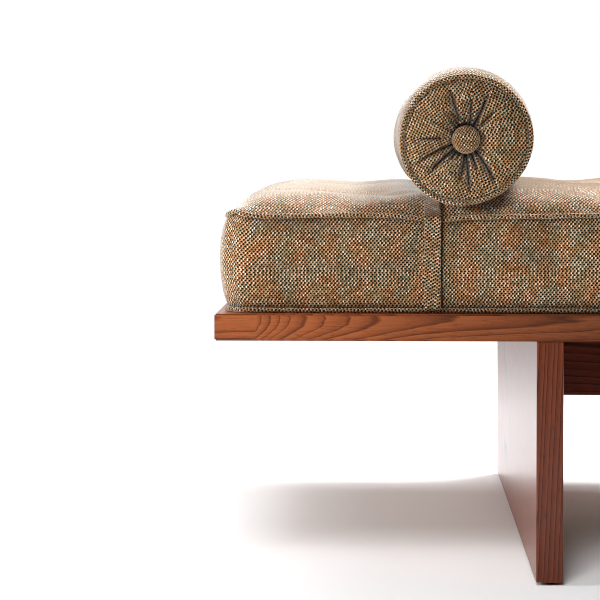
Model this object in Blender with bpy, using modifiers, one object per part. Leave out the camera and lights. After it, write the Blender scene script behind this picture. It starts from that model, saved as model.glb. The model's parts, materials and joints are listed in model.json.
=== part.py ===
"""Upholstered daybed: a walnut platform on two slab legs, a piped mattress, and a strapped bolster.

Metres, +Z up. The front faces -Y and the head end is at -X. The origin is on the floor, under
the middle of the platform.
"""

import math

import bmesh
import bpy
from mathutils import Matrix, Vector

# Platform
LENGTH = 2.04
DEPTH = 0.85
BOARD = 0.030  # thickness of every walnut board
DECK_TOP = 0.302
RAIL_WIDTH = 0.090
EASE = 0.0016  # rounding of the walnut edges
GAP = 0.0003  # clearance between pieces that touch
SPLINE_SIZE = (0.060, 0.024, 0.005)  # loose tongue in each mitre

# Slats
SLAT_COUNT = 12
SLAT_WIDTH = 0.070
SLAT_THICKNESS = 0.016
LEDGER_WIDTH = 0.018
LEDGER_HEIGHT = 0.012

# Legs, stretcher and glides
LEG_INSET = 0.358  # from the platform's end to the leg's outer face
STRETCHER_BOTTOM = 0.167
TENON_LENGTH = 0.012
TENON_SHOULDER = 0.005
GLIDE_HEIGHT = 0.0027
GLIDE_CHAMFER = 0.0011  # height of its bevelled rim
GLIDE_RADIUS = 0.0105
GLIDE_FLAT = 0.0092  # radius of the flat that meets the floor
GLIDE_PIN = (0.0015, 0.016)  # radius and length of the nail
GLIDE_INSET = 0.022

# Bolts through the rails into barrel nuts in the legs
BOLT_HEAD = (0.007, 0.004)  # radius and height
BOLT_SHANK = (0.003, 0.078)  # radius, and length over the head
BOLT_SUNK = 0.0015
NUT_RADIUS = 0.006
NUT_LENGTH = 0.020
NUT_DROP = 0.040  # below the platform's underside
ROUND_SIDES = 16

# Mattress
MATTRESS_INSET = 0.012  # from the platform's long edges
MATTRESS_END_INSET = 0.0075
MATTRESS_CORNER = 0.018
PIPING_RADIUS = 0.0026
TOP_PIPING_Z = 0.4112
PANEL_RISE = 0.001  # of the panel's edge over the middle of its piping
SKIN = 0.002  # thickness of the cover fabric
CROWN = 0.0288  # height of the crown over the top panel's edge
CROWN_ROLL = 0.110  # how far in from the edge the crown reaches its height
CROWN_POWER = 2.5
CORNER_STEPS = 5

# Bolster, lying from front to back
BOLSTER_FROM_END = 0.2795
BOLSTER_RADIUS = 0.077
BOLSTER_END_Z = 0.4961  # height of the axis at the two ends
BOLSTER_ARCH = 0.0078  # how much higher the axis is in the middle
BOLSTER_ARCH_POWER = 4
BOLSTER_HALF = 0.404
BOLSTER_STATIONS = (1.0, 0.94, 0.88, 0.805, 0.69, 0.45, 0.0)  # shares of BOLSTER_HALF
BOLSTER_CLEARANCE = 0.0045  # between its underside and the mattress, where the strap runs
BOLSTER_SIDES = 24
BOLSTER_SKIN_GAP = 0.004
BOLSTER_PIPING_RADIUS = 0.0028
BOLSTER_PIPING_RING = 0.0712
BUTTON_RADIUS = 0.0155
BUTTON_HEIGHT = 0.0052
BUTTON_EDGE = 0.35  # share of its height at its rim
BUTTON_LIP = 0.0012  # how far its rim overhangs its underside
GATHER_PLANE = 0.398
GATHER_PROFILE = ((0.0, 0.0070), (0.0160, 0.0070), (0.0300, 0.0103), (0.0500, 0.0094), (0.0675, 0.0040))

# Strap round the mattress, on the bolster's head side
STRAP_OFFSET = -0.037
STRAP_WIDTH = 0.0185
STRAP_THICKNESS = 0.0025
STRAP_LIP = 0.005  # how far in from the top panel's edge it meets the crown
STRAP_TAB = (0.0165, 0.0020, 0.060)
STRAP_TAB_Z = 0.362

# Worked out from the above
DECK_BOTTOM = DECK_TOP - BOARD
LEDGER_TOP = DECK_BOTTOM + LEDGER_HEIGHT
LEG_X = LENGTH / 2 - LEG_INSET - BOARD / 2
LEG_BOTTOM = GLIDE_HEIGHT + GAP
LEG_TOP = DECK_BOTTOM - GAP
STRETCHER_TOP = LEDGER_TOP - GAP
STRETCHER_HALF = LEG_X - BOARD / 2 - GAP
RAIL_Y = DEPTH / 2 - RAIL_WIDTH / 2
INNER_HALF_X = LENGTH / 2 - RAIL_WIDTH
INNER_HALF_Y = DEPTH / 2 - RAIL_WIDTH
BOLT_TOP = DECK_TOP - BOLT_SUNK
MATTRESS_HALF_X = LENGTH / 2 - MATTRESS_END_INSET
MATTRESS_HALF_Y = DEPTH / 2 - MATTRESS_INSET
MATTRESS_BOTTOM = DECK_TOP + STRAP_THICKNESS + 2 * GAP
BOTTOM_PIPING_Z = MATTRESS_BOTTOM + PIPING_RADIUS
PANEL_INSET = 2 * PIPING_RADIUS + GAP
PANEL_HALF_X = MATTRESS_HALF_X - PANEL_INSET
PANEL_HALF_Y = MATTRESS_HALF_Y - PANEL_INSET
PANEL_EDGE_Z = TOP_PIPING_Z + PANEL_RISE
BOXING_INSET = 0.002
BOLSTER_X = BOLSTER_FROM_END - LENGTH / 2

model = None
cutters = None
materials = {}


# Scene and object helpers


def start():
    """Empties the file and makes the two collections and the materials."""
    global model, cutters
    for old in list(bpy.data.objects):
        bpy.data.objects.remove(old, do_unlink=True)
    model = bpy.data.collections.new("daybed")
    cutters = bpy.data.collections.new("cutters")
    for collection in (model, cutters):
        bpy.context.scene.collection.children.link(collection)
    make_material("walnut", (0.23, 0.105, 0.05), 0.42)
    make_material("slat_wood", (0.62, 0.46, 0.29), 0.6)
    make_material("tweed", (0.42, 0.31, 0.21), 0.85)
    make_material("foam", (0.85, 0.80, 0.66), 0.9)
    make_material("zinc_steel", (0.62, 0.62, 0.60), 0.35, metallic=1.0)
    make_material("glide_nylon", (0.03, 0.03, 0.03), 0.5)


def make_material(name, colour, roughness, metallic=0.0):
    material = bpy.data.materials.new(name)
    material.use_nodes = True
    shader = material.node_tree.nodes["Principled BSDF"]
    shader.inputs["Base Color"].default_value = (*colour, 1)
    shader.inputs["Roughness"].default_value = roughness
    shader.inputs["Metallic"].default_value = metallic
    materials[name] = material


def place(name, data, material, location=(0, 0, 0), rotation=(0, 0, 0)):
    """An object of the model, with its own copy of a material; rotation is in degrees."""
    thing = bpy.data.objects.new(name, data)
    thing.location = location
    thing.rotation_euler = [math.radians(angle) for angle in rotation]
    own = materials[material].copy()
    own.name = f"{material}_{name}"
    data.materials.clear()
    data.materials.append(own)
    model.objects.link(thing)
    return thing


def place_cutter(name, data, location=(0, 0, 0), rotation=(0, 0, 0)):
    thing = bpy.data.objects.new(name, data)
    thing.location = location
    thing.rotation_euler = [math.radians(angle) for angle in rotation]
    thing.hide_render = True
    thing.display_type = "WIRE"
    cutters.objects.link(thing)
    return thing


def combine(thing, other, operation="DIFFERENCE"):
    boolean = thing.modifiers.new(f"{operation.lower()}_{other.name}", "BOOLEAN")
    boolean.operation = operation
    boolean.solver = "EXACT"
    boolean.object = other


def ease(thing, width=EASE, segments=2):
    """Rounds the sharp edges."""
    bevel = thing.modifiers.new("eased_edges", "BEVEL")
    bevel.width = width
    bevel.segments = segments
    bevel.limit_method = "ANGLE"
    bevel.angle_limit = math.radians(40)


def hang(empty_name, location, things, parent=None):
    """Parents pieces to an empty on their joint's axis, keeping them where they are."""
    empty = bpy.data.objects.new(empty_name, None)
    empty.location = location
    model.objects.link(empty)
    if parent:
        empty.parent = parent
        empty.matrix_parent_inverse = Matrix.Translation(-parent.location)
    for thing in things:
        thing.parent = empty
        thing.matrix_parent_inverse = Matrix.Translation(-Vector(location))
    return empty


# Mesh helpers


def mesh_from(bm, name):
    bmesh.ops.recalc_face_normals(bm, faces=bm.faces)
    mesh = bpy.data.meshes.new(name)
    bm.to_mesh(mesh)
    bm.free()
    return mesh


def box(name, size):
    bm = bmesh.new()
    bmesh.ops.create_cube(bm, size=1)
    bmesh.ops.scale(bm, vec=size, verts=bm.verts)
    return mesh_from(bm, name)


def board(size, mitre=0.0):
    """A board along X with eased long edges, shorter by the mitre at each end of its +Y side."""
    bm = bmesh.new()
    bmesh.ops.create_cube(bm, size=1)
    bmesh.ops.scale(bm, vec=size, verts=bm.verts)
    for vertex in bm.verts:
        if vertex.co.y > 0:
            vertex.co.x -= math.copysign(mitre, vertex.co.x)
    long_edges = [edge for edge in bm.edges if edge.calc_length() > size[0] / 2]
    bmesh.ops.bevel(bm, geom=long_edges, offset=EASE, segments=2, affect="EDGES")
    return bm


def rod(name, radius, length):
    """A cylinder along Z."""
    bm = bmesh.new()
    bmesh.ops.create_cone(
        bm, cap_ends=True, segments=ROUND_SIDES, radius1=radius, radius2=radius, depth=length
    )
    return mesh_from(bm, name)


def turned(name, profile, sides, closed=False):
    """A profile of (radius, height), listed down its outer side, turned about Z."""
    bm = bmesh.new()
    points = [bm.verts.new((radius, 0, height)) for radius, height in profile]
    for first, second in zip(points, points[1:]):
        bm.edges.new((first, second))
    if closed:
        bm.edges.new((points[-1], points[0]))
    half = bpy.data.meshes.new(name)
    bm.to_mesh(half)
    bm.free()
    guide = bpy.data.objects.new(name, half)
    bpy.context.scene.collection.objects.link(guide)
    screw = guide.modifiers.new("turned", "SCREW")
    screw.steps = sides
    screw.render_steps = sides
    screw.use_merge_vertices = True
    screw.merge_threshold = 0.00001
    return solidified(guide)


def solidified(guide):
    """The evaluated mesh of a guide object, which is then removed."""
    bpy.context.view_layer.update()
    evaluated = guide.evaluated_get(bpy.context.evaluated_depsgraph_get())
    mesh = bpy.data.meshes.new_from_object(evaluated)
    mesh.name = guide.name
    bpy.data.objects.remove(guide, do_unlink=True)
    bm = bmesh.new()
    bm.from_mesh(mesh)
    bmesh.ops.remove_doubles(bm, verts=bm.verts, dist=0.000005)
    bmesh.ops.recalc_face_normals(bm, faces=bm.faces)
    bm.to_mesh(mesh)
    bm.free()
    return mesh


def rounded_rectangle(half_x, half_y, radius):
    points = []
    for quarter in range(4):
        middle = math.radians(45 + 90 * quarter)
        centre_x = math.copysign(half_x - radius, math.cos(middle))
        centre_y = math.copysign(half_y - radius, math.sin(middle))
        for step in range(CORNER_STEPS + 1):
            angle = math.radians(90 * (quarter + step / CORNER_STEPS))
            points.append((centre_x + radius * math.cos(angle), centre_y + radius * math.sin(angle)))
    return points


def add_outline(curve, points, height=0.0):
    spline = curve.splines.new("POLY")
    spline.points.add(len(points) - 1)
    for spot, (x, y) in zip(spline.points, points):
        spot.co = (x, y, height, 1)
    spline.use_cyclic_u = True


def prism(name, outlines, thickness):
    """A flat outline, with any further outlines as holes, as thick as given."""
    curve = bpy.data.curves.new(name, "CURVE")
    curve.dimensions = "2D"
    curve.fill_mode = "BOTH"
    curve.extrude = thickness / 2
    for outline in outlines:
        add_outline(curve, outline)
    guide = bpy.data.objects.new(name, curve)
    bpy.context.scene.collection.objects.link(guide)
    return solidified(guide)


# Platform


def mitred_rail(name, length, location, turn):
    """A board whose outer side faces -Y before it is turned, mitred at both ends."""
    bm = board((length - 2 * math.sqrt(0.5) * GAP, RAIL_WIDTH, BOARD), mitre=RAIL_WIDTH)
    return place(name, mesh_from(bm, name), "walnut", location, (0, 0, turn))


def make_platform():
    """Four mitred rails, with a loose tongue in each mitre."""
    height = DECK_TOP - BOARD / 2
    end_x = LENGTH / 2 - RAIL_WIDTH / 2
    rails = {
        "front": mitred_rail("front_rail", LENGTH, (0, -RAIL_Y, height), 0),
        "back": mitred_rail("back_rail", LENGTH, (0, RAIL_Y, height), 180),
        "left": mitred_rail("left_end_rail", DEPTH, (-end_x, 0, height), -90),
        "right": mitred_rail("right_end_rail", DEPTH, (end_x, 0, height), 90),
    }
    slot_size = [side + 2 * GAP for side in SPLINE_SIZE]
    for end, x_sign in (("left", -1), ("right", 1)):
        for side, y_sign in (("front", -1), ("back", 1)):
            corner = (x_sign * end_x, y_sign * RAIL_Y, height)
            turn = 45 * x_sign * y_sign
            name = f"mitre_spline_{side}_{end}"
            place(name, box(name, SPLINE_SIZE), "slat_wood", corner, (0, 0, turn))
            slot = place_cutter(f"cut_{name}", box("slot", slot_size), corner, (0, 0, turn))
            combine(rails[end], slot)
            combine(rails[side], slot)
    return rails


def make_slats():
    ledger_y = INNER_HALF_Y - GAP - LEDGER_WIDTH / 2
    ledger_size = (2 * (INNER_HALF_X - GAP), LEDGER_WIDTH, LEDGER_HEIGHT)
    for side, sign in (("front", -1), ("back", 1)):
        name = f"{side}_slat_ledger"
        place(name, box(name, ledger_size), "walnut", (0, sign * ledger_y, DECK_BOTTOM + LEDGER_HEIGHT / 2))
    slat_size = (SLAT_WIDTH, 2 * (INNER_HALF_Y - 3 * GAP), SLAT_THICKNESS)
    pitch = 2 * INNER_HALF_X / SLAT_COUNT
    height = LEDGER_TOP + GAP + SLAT_THICKNESS / 2
    for index in range(SLAT_COUNT):
        name = f"slat_{index + 1:02d}"
        x = (index - (SLAT_COUNT - 1) / 2) * pitch
        slat = place(name, box(name, slat_size), "slat_wood", (x, 0, height))
        ease(slat, width=0.002, segments=1)


# Legs, stretcher, glides and bolts


def glide_profile(grow=0.0):
    """From the nail's tip down to the floor."""
    pin_radius, pin_length = GLIDE_PIN
    top = GLIDE_HEIGHT + pin_length + grow
    return (
        (0, top),
        (pin_radius + grow, top),
        (pin_radius + grow, GLIDE_HEIGHT),
        (GLIDE_RADIUS, GLIDE_HEIGHT),
        (GLIDE_RADIUS, GLIDE_CHAMFER),
        (GLIDE_FLAT, 0),
        (0, 0),
    )


def bolt_profile(grow=0.0, above=0.0):
    head_radius, head_height = BOLT_HEAD
    shank_radius, length = BOLT_SHANK
    return (
        (0, above),
        (head_radius + grow, above),
        (head_radius + grow, -head_height - grow),
        (shank_radius + grow, -head_height - grow),
        (shank_radius + grow, -length - grow),
        (0, -length - grow),
    )


def make_stretcher():
    height = STRETCHER_TOP - STRETCHER_BOTTOM
    bm = board((2 * STRETCHER_HALF, BOARD, height))
    bm.normal_update()
    ends = [face for face in bm.faces if abs(face.normal.x) > 0.99]
    bmesh.ops.inset_individual(bm, faces=ends, thickness=TENON_SHOULDER, use_even_offset=True)
    for tenon in bmesh.ops.extrude_discrete_faces(bm, faces=ends)["faces"]:
        push = math.copysign(TENON_LENGTH, tenon.calc_center_median().x)
        bmesh.ops.translate(bm, vec=(push, 0, 0), verts=tenon.verts)
    middle = (STRETCHER_TOP + STRETCHER_BOTTOM) / 2
    place("stretcher", mesh_from(bm, "stretcher"), "walnut", (0, 0, middle))
    hole = (
        2 * (STRETCHER_HALF + TENON_LENGTH + GAP),
        BOARD - 2 * TENON_SHOULDER + 2 * GAP,
        height - 2 * TENON_SHOULDER + 2 * GAP,
    )
    return place_cutter("cut_mortises", box("mortises", hole), (0, 0, middle))


def make_legs(rails):
    mortises = make_stretcher()
    size = (BOARD, DEPTH, LEG_TOP - LEG_BOTTOM)
    nut_z = DECK_BOTTOM - NUT_DROP
    for end, x_sign in (("left", -1), ("right", 1)):
        x = x_sign * LEG_X
        name = f"{end}_leg_panel"
        leg = place(name, box(name, size), "walnut", (x, 0, (LEG_TOP + LEG_BOTTOM) / 2))
        ease(leg)
        combine(leg, mortises)
        for side, y_sign in (("front", -1), ("back", 1)):
            corner = f"{side}_{end}"
            make_bolt(corner, (x, y_sign * RAIL_Y, BOLT_TOP), nut_z, leg, rails[side])
            make_glide(corner, (x, y_sign * (DEPTH / 2 - GLIDE_INSET), 0), leg)


def make_bolt(corner, spot, nut_z, leg, rail):
    bolt = turned(f"leg_bolt_{corner}", bolt_profile(), ROUND_SIDES)
    place(f"leg_bolt_{corner}", bolt, "zinc_steel", spot)
    hole = turned("bolt_hole", bolt_profile(GAP, above=2 * BOLT_SUNK), ROUND_SIDES)
    hole = place_cutter(f"cut_leg_bolt_{corner}", hole, spot)
    nut = place(
        f"barrel_nut_{corner}",
        rod(f"barrel_nut_{corner}", NUT_RADIUS, NUT_LENGTH),
        "zinc_steel",
        (spot[0], spot[1], nut_z),
        (0, 90, 0),
    )
    inward = -math.copysign(1, spot[0])
    pocket = NUT_LENGTH + BOARD
    start_x = spot[0] - inward * (NUT_LENGTH / 2 + GAP)
    pocket_spot = (start_x + inward * pocket / 2, spot[1], nut_z)
    pocket = place_cutter(
        f"cut_barrel_nut_{corner}", rod("pocket", NUT_RADIUS + GAP, pocket), pocket_spot, (0, 90, 0)
    )
    combine(leg, hole)
    combine(leg, pocket)
    combine(rail, hole)
    combine(nut, hole)


def make_glide(corner, spot, leg):
    name = f"glide_{corner}"
    place(name, turned(name, glide_profile(), ROUND_SIDES), "glide_nylon", spot)
    hole = place_cutter(f"cut_{name}", turned("nail_hole", glide_profile(GAP), ROUND_SIDES), spot)
    combine(leg, hole)


# Mattress


def roll(distance):
    """Share of the crown's height at a distance in from the edge."""
    share = min(max(distance / CROWN_ROLL, 0), 1)
    return 1 - (1 - share) ** CROWN_POWER


def crown_z(x, y):
    """Height of the mattress's top surface."""
    return PANEL_EDGE_Z + CROWN * roll(PANEL_HALF_X - abs(x)) * roll(PANEL_HALF_Y - abs(y))


def crown_stations(half):
    """Grid lines, close together where the crown is steep, and one just outside the panel."""
    shares = (-0.05, 0, 0.1, 0.22, 0.36, 0.53, 0.74, 1)
    positive = sorted(half - CROWN_ROLL * share for share in shares)
    return [-value for value in reversed(positive)] + [0] + positive


def crowned_block(name, material, half_x, half_y, top, bottom):
    """A block between two height functions, trimmed to a rectangle with round corners."""
    columns = crown_stations(PANEL_HALF_X)
    rows = crown_stations(PANEL_HALF_Y)
    bm = bmesh.new()
    bmesh.ops.create_grid(bm, x_segments=len(columns) - 1, y_segments=len(rows) - 1, size=1)
    for vertex in bm.verts:
        column = round((vertex.co.x + 1) / 2 * (len(columns) - 1))
        row = round((vertex.co.y + 1) / 2 * (len(rows) - 1))
        vertex.co = (columns[column], rows[row], 0)
    lower = bmesh.ops.extrude_face_region(bm, geom=bm.faces[:])["geom"]
    lower = {item for item in lower if isinstance(item, bmesh.types.BMVert)}
    for vertex in bm.verts:
        height = bottom if vertex in lower else top
        vertex.co.z = height(vertex.co.x, vertex.co.y)
    block = place(name, mesh_from(bm, name), material)
    outline = rounded_rectangle(half_x, half_y, MATTRESS_CORNER - (MATTRESS_HALF_X - half_x))
    trim = place_cutter(f"trim_{name}", prism("trim", [outline], 1))
    combine(block, trim, "INTERSECT")
    return block


def piping_loop(name, height):
    inset = PIPING_RADIUS
    curve = bpy.data.curves.new(name, "CURVE")
    curve.dimensions = "3D"
    curve.bevel_depth = PIPING_RADIUS
    curve.bevel_resolution = 2
    outline = rounded_rectangle(MATTRESS_HALF_X - inset, MATTRESS_HALF_Y - inset, MATTRESS_CORNER - inset)
    add_outline(curve, outline)
    return place(name, curve, "tweed", (0, 0, height))


def flat_panel(name, height):
    outline = rounded_rectangle(PANEL_HALF_X, PANEL_HALF_Y, MATTRESS_CORNER - PANEL_INSET)
    return place(name, prism(name, [outline], SKIN), "tweed", (0, 0, height))


def boxing_band(name, low, high):
    outlines = [
        rounded_rectangle(MATTRESS_HALF_X - inset, MATTRESS_HALF_Y - inset, MATTRESS_CORNER - inset)
        for inset in (BOXING_INSET, BOXING_INSET + SKIN)
    ]
    return place(name, prism(name, outlines, high - low), "tweed", (0, 0, (low + high) / 2))


def make_mattress():
    core_bottom = MATTRESS_BOTTOM + SKIN + GAP
    pieces = [
        crowned_block(
            "mattress_core",
            "foam",
            PANEL_HALF_X,
            PANEL_HALF_Y,
            lambda x, y: crown_z(x, y) - SKIN - GAP,
            lambda x, y: core_bottom,
        ),
        crowned_block(
            "mattress_top_panel",
            "tweed",
            PANEL_HALF_X,
            PANEL_HALF_Y,
            crown_z,
            lambda x, y: crown_z(x, y) - SKIN,
        ),
        flat_panel("mattress_bottom_panel", MATTRESS_BOTTOM + SKIN / 2),
        boxing_band(
            "mattress_boxing",
            BOTTOM_PIPING_Z + PIPING_RADIUS + GAP,
            TOP_PIPING_Z - PIPING_RADIUS - GAP,
        ),
        piping_loop("mattress_top_piping", TOP_PIPING_Z),
        piping_loop("mattress_bottom_piping", BOTTOM_PIPING_Z),
    ]
    return hang("mattress_lift_axis", (0, 0, MATTRESS_BOTTOM), pieces)


# Bolster


def settle(mesh):
    """Lays a piece turned about Z along Y, arched over the crown and flattened where it rests."""
    for vertex in mesh.vertices:
        x, z, y = vertex.co.x, -vertex.co.y, vertex.co.z
        arch = BOLSTER_ARCH * (1 - abs(y / BOLSTER_HALF) ** BOLSTER_ARCH_POWER)
        inside = BOLSTER_RADIUS - math.hypot(x, z)
        floor = crown_z(BOLSTER_X, y) + BOLSTER_CLEARANCE + inside
        vertex.co = (BOLSTER_X + x, y, max(BOLSTER_END_Z + arch + z, floor))
    return mesh


def bolster_line(radius, half):
    """A straight side from one end to the other, with points where the arch needs them."""
    shares = [*BOLSTER_STATIONS[1:-1], *(-share for share in reversed(BOLSTER_STATIONS[1:]))]
    stations = [half, *(BOLSTER_HALF * share for share in shares), -half]
    return [(radius, station) for station in stations]


def mirrored(profile, sign):
    """A profile of (radius, height) for the front end, or turned over for the back end."""
    flipped = [(radius, sign * height) for radius, height in profile]
    return flipped if sign > 0 else flipped[::-1]


def make_bolster_end(side, sign):
    outer = [(radius, GATHER_PLANE + height) for radius, height in GATHER_PROFILE]
    inner = [(radius, height - SKIN) for radius, height in reversed(outer)]
    name = f"bolster_{side}_gather"
    gather = turned(name, mirrored(outer + inner, sign), BOLSTER_SIDES)
    pieces = [place(name, settle(gather), "tweed")]

    bottom = GATHER_PLANE + GATHER_PROFILE[0][1] + GAP
    rim = bottom + BUTTON_HEIGHT * BUTTON_EDGE
    crown = BUTTON_HEIGHT * (1 - BUTTON_EDGE)
    dome = [
        (BUTTON_RADIUS * math.sin(angle), rim + crown * math.cos(angle))
        for angle in (math.radians(step * 15) for step in range(7))
    ]
    underside = [(BUTTON_RADIUS - BUTTON_LIP, bottom), (0, bottom)]
    name = f"bolster_{side}_button"
    button = turned(name, mirrored(dome + underside, sign), BOLSTER_SIDES)
    pieces.append(place(name, settle(button), "tweed"))

    bpy.ops.mesh.primitive_torus_add(
        major_segments=2 * BOLSTER_SIDES,
        minor_segments=6,
        major_radius=BOLSTER_PIPING_RING,
        minor_radius=BOLSTER_PIPING_RADIUS,
    )
    torus = bpy.context.active_object
    ring = torus.data
    bpy.data.objects.remove(torus, do_unlink=True)
    middle = sign * (BOLSTER_HALF + GAP + BOLSTER_PIPING_RADIUS)
    ring.transform(Matrix.Translation((0, 0, middle)))
    pieces.append(place(f"bolster_{side}_piping", settle(ring), "tweed"))
    return pieces


def girth(clearance):
    """The loop round the mattress in the YZ plane, at a clearance from its cover."""
    side = MATTRESS_HALF_Y + clearance
    low = MATTRESS_BOTTOM - clearance
    lip = TOP_PIPING_Z + PIPING_RADIUS + clearance
    over = [y for y in crown_stations(PANEL_HALF_Y) if abs(y) < PANEL_HALF_Y - STRAP_LIP]
    arch = [(y, crown_z(BOLSTER_X, y) + clearance) for y in reversed(over)]
    return [(-side, low), (side, low), (side, lip), *arch, (-side, lip)]


def make_strap():
    x = BOLSTER_X + STRAP_OFFSET
    loops = [girth(GAP), girth(GAP + STRAP_THICKNESS)]
    band = prism("bolster_strap", loops, STRAP_WIDTH)
    strap = place("bolster_strap", band, "tweed", (x, 0, 0), (90, 0, 90))
    tab_y = MATTRESS_HALF_Y + 2 * GAP + STRAP_THICKNESS + STRAP_TAB[1] / 2
    tab = place("strap_closure_tab", box("strap_closure_tab", STRAP_TAB), "tweed", (x, tab_y, STRAP_TAB_Z))
    return [strap, tab]


def make_bolster(mattress):
    core_line = bolster_line(BOLSTER_RADIUS - SKIN - BOLSTER_SKIN_GAP, GATHER_PLANE - GAP)
    core = turned("bolster_core", [(0, core_line[0][1]), *core_line, (0, core_line[-1][1])], BOLSTER_SIDES)
    outer = bolster_line(BOLSTER_RADIUS, BOLSTER_HALF)
    inner = bolster_line(BOLSTER_RADIUS - SKIN, BOLSTER_HALF)
    cover = turned("bolster_cover", outer + inner[::-1], BOLSTER_SIDES, closed=True)
    pieces = [
        place("bolster_core", settle(core), "foam"),
        place("bolster_cover", settle(cover), "tweed"),
        *make_bolster_end("front", -1),
        *make_bolster_end("back", 1),
        *make_strap(),
    ]
    hang("bolster_slide_axis", (BOLSTER_X, 0, BOLSTER_END_Z), pieces, parent=mattress)


def main():
    start()
    rails = make_platform()
    make_slats()
    make_legs(rails)
    mattress = make_mattress()
    make_bolster(mattress)
    for thing in model.objects:
        if thing.type == "MESH":
            thing.data.shade_smooth()
            thing.data.set_sharp_from_angle(angle=math.radians(35))


main()
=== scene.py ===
"""The looks of the upholstered daybed: walnut platform, tufted tweed mattress and strapped bolster."""

import json
import math

import bpy
import numpy as np
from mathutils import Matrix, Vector


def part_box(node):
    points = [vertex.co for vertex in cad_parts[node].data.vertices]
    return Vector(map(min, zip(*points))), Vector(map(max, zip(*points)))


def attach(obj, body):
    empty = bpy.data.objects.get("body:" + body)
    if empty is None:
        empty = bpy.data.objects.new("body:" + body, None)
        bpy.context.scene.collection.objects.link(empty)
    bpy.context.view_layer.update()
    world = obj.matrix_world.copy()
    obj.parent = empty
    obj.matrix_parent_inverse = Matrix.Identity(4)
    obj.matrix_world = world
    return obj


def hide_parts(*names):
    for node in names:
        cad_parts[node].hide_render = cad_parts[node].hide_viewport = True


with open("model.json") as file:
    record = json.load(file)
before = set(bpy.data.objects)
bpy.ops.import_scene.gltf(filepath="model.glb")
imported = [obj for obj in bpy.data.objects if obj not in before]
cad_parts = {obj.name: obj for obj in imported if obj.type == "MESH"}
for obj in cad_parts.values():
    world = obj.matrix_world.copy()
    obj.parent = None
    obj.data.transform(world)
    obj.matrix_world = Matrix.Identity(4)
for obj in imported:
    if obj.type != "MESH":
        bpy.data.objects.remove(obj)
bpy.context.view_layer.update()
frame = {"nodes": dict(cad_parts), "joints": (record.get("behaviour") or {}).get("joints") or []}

# Sizes read from the frame, in metres
deck_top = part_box("front_rail")[1].z
deck_low, deck_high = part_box("front_rail")[0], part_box("back_rail")[1]
welt_low, welt_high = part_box("mattress_top_piping")
WELT_HALF = Vector((welt_high.x, welt_high.y))
WELT_Z = (welt_low.z + welt_high.z) / 2
ring_low, ring_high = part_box("bolster_front_piping")
BOLSTER_X = (ring_low.x + ring_high.x) / 2
BOLSTER_END_Z = (ring_low.z + ring_high.z) / 2
strap_low, strap_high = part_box("bolster_strap")
STRAP_X = (strap_low.x + strap_high.x) / 2
STRAP_WIDTH = strap_high.x - strap_low.x
SLIDE = frame["joints"][1]["range_m"][1]

# Mattress
PIPING_RADIUS = 0.0028
WELT_INSET = 0.0035  # from the welt's outer edge to the seam
CORNER = 0.020
CELL = 0.0115  # spacing of the cover's grid
CREST = 0.0340  # height of the crown over the welt
EDGE_SHARE = 0.78  # how much of it comes within an edge's roll
EDGE_ROLL = 0.022
END_ROLL = 0.015
WIDE_ROLL = 0.20
TUFT_COLUMNS = 7
TUFT_ROWS = 3
TUFT_PITCH = SLIDE / 5
TUFT_ROW_PITCH = 0.275
TUFT_DEPTH = 0.015
BULGE = 0.0065
SIDE_SHARES = (0, 0.03, 0.07, 0.14, 0.24, 0.36, 0.5, 0.64, 0.76, 0.86, 0.93, 0.97, 1)
# Painted shade: the boxing is darkened in the seams just under the top welt and just over the bottom
# welt.
SEAM_SHADE = {0.03: 0.75, 0.07: 0.12, 0.93: 0.10, 0.97: 0.8}  # darkness of the seams beside the welts
STRAP_SPOTS = (STRAP_X, STRAP_X + SLIDE)  # where the mattress makes room for the strap
PINCH_REACH = 0.030
CREASE_OFFSET = 0.0014  # from the strap's edge to the crease beside it
CREASE_WIDTH = 0.0021
TIE_RADIUS = 0.014  # of the cover held down at each tuft
SETTLE_FRAMES = 24
MOST_SETTLING = 0.0048  # furthest that the simulation may move a point
COVER_CLEARANCE = 0.0005  # between the cover's underside and the slat deck
TUFT_BUTTON_RADIUS = 0.0125
TUFT_BUTTON_HEIGHT = 0.0055

rng = np.random.default_rng(11)


# Mesh building


def mesh_object(name, points, faces, uvs, shade_amounts=None):
    """A mesh whose faces' corners take their place in the weave, in metres, from uvs.

    The last argument gives each point painted shade, from 0 to 1, that darkens its colour where shade
    falls in creases and seams.
    """
    mesh = bpy.data.meshes.new(name)
    mesh.from_pydata([tuple(p) for p in points], [], [tuple(f) for f in faces])
    layer = mesh.uv_layers.new(name="weave")
    layer.data.foreach_set("uv", np.asarray(uvs, np.float32).reshape(-1))
    mesh.shade_smooth()
    # Painted shade, kept per point for the tweed material to darken the colour with.
    if shade_amounts is not None:
        depths = mesh.attributes.new("crease_shade", "FLOAT", "POINT")
        depths.data.foreach_set("value", np.asarray(shade_amounts, np.float32))
    mesh.validate()
    thing = bpy.data.objects.new(name, mesh)
    bpy.context.scene.collection.objects.link(thing)
    return thing


def grid_faces(rows, columns, close_rows=False, close_columns=False, first=0):
    """Quads over a grid of points numbered row by row."""
    faces = []
    for row in range(rows if close_rows else rows - 1):
        below = (row + 1) % rows
        for column in range(columns if close_columns else columns - 1):
            right = (column + 1) % columns
            faces.append(
                (
                    first + row * columns + column,
                    first + row * columns + right,
                    first + below * columns + right,
                    first + below * columns + column,
                )
            )
    return faces


def grid_uvs(u, v):
    """Corner UVs for grid_faces: u runs along columns and v along rows, each with one more
    value than there are cells."""
    uvs = []
    for row in range(len(v) - 1):
        for column in range(len(u) - 1):
            uvs += [
                (u[column], v[row]),
                (u[column + 1], v[row]),
                (u[column + 1], v[row + 1]),
                (u[column], v[row + 1]),
            ]
    return uvs


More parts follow.
